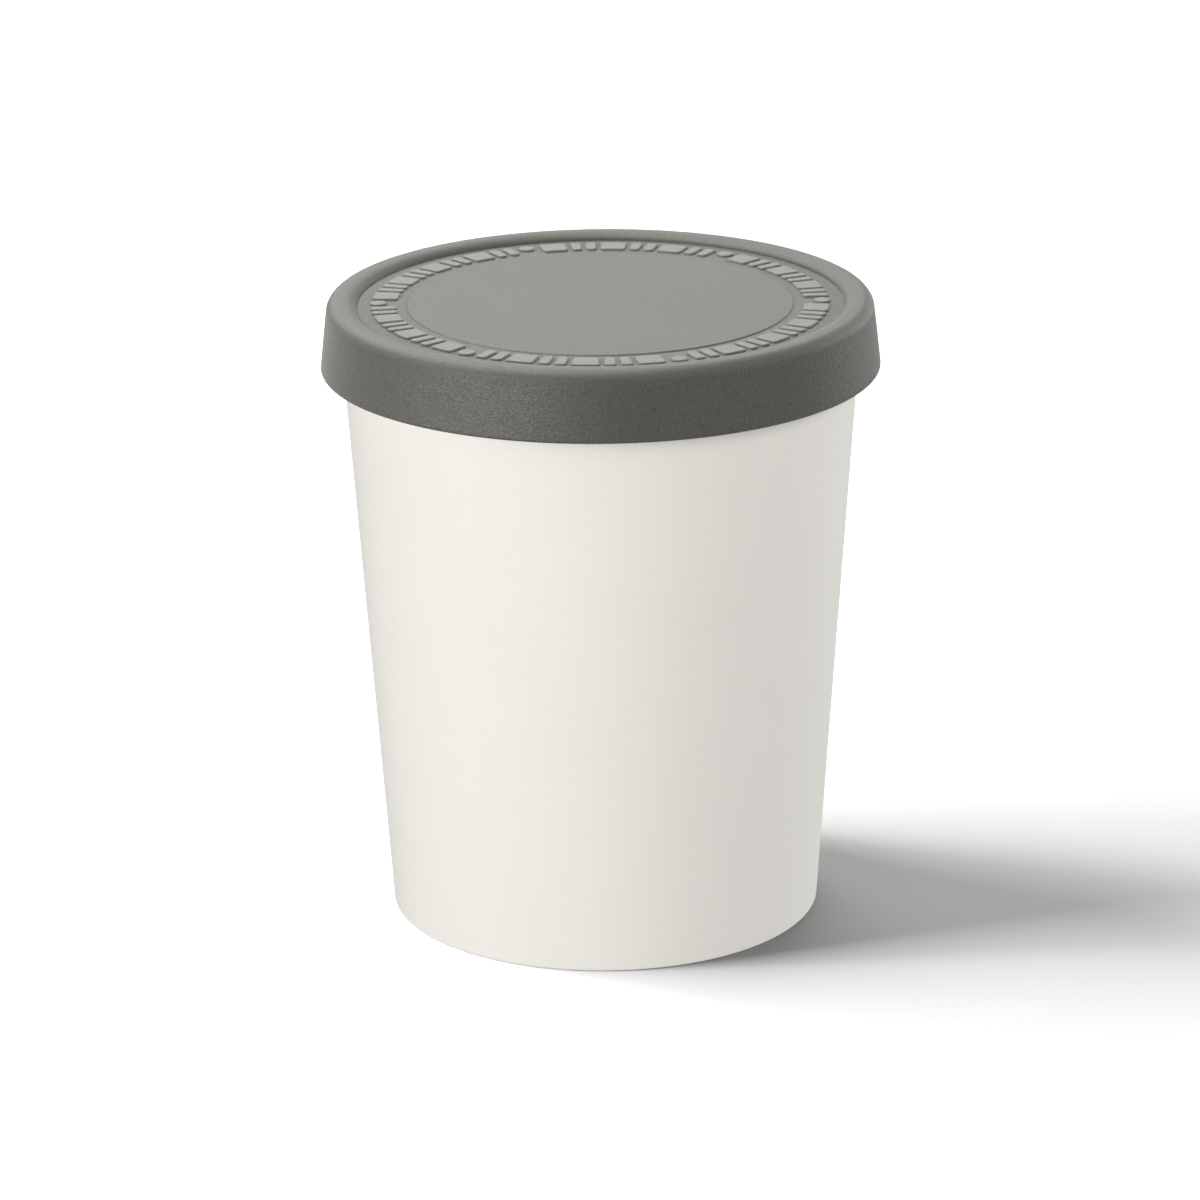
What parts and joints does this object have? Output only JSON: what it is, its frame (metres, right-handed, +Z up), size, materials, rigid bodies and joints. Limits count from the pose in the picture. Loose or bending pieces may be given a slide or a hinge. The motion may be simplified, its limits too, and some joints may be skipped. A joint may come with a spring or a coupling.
{
  "type": "ice cream tub",
  "caption": "Shut round ice cream tub: a plain tapered off-white cup under a soft grey press-on lid with a flared skirt and a raised ring.",
  "frame": {"origin": "middle of the flat base, on the surface that the tub stands on", "axes": "+Z up along the tub's own axis; -Y faces the camera of the picture"},
  "size_m": [0.1178, 0.1178, 0.1342],
  "materials": {
    "tub_plastic": "satin off-white moulded plastic",
    "lid_silicone": "fine-grained matt warm grey silicone"
  },
  "bodies": {
    "root": {"tub": "tub_plastic", "lid": "lid_silicone"}
  },
  "joints": []
}
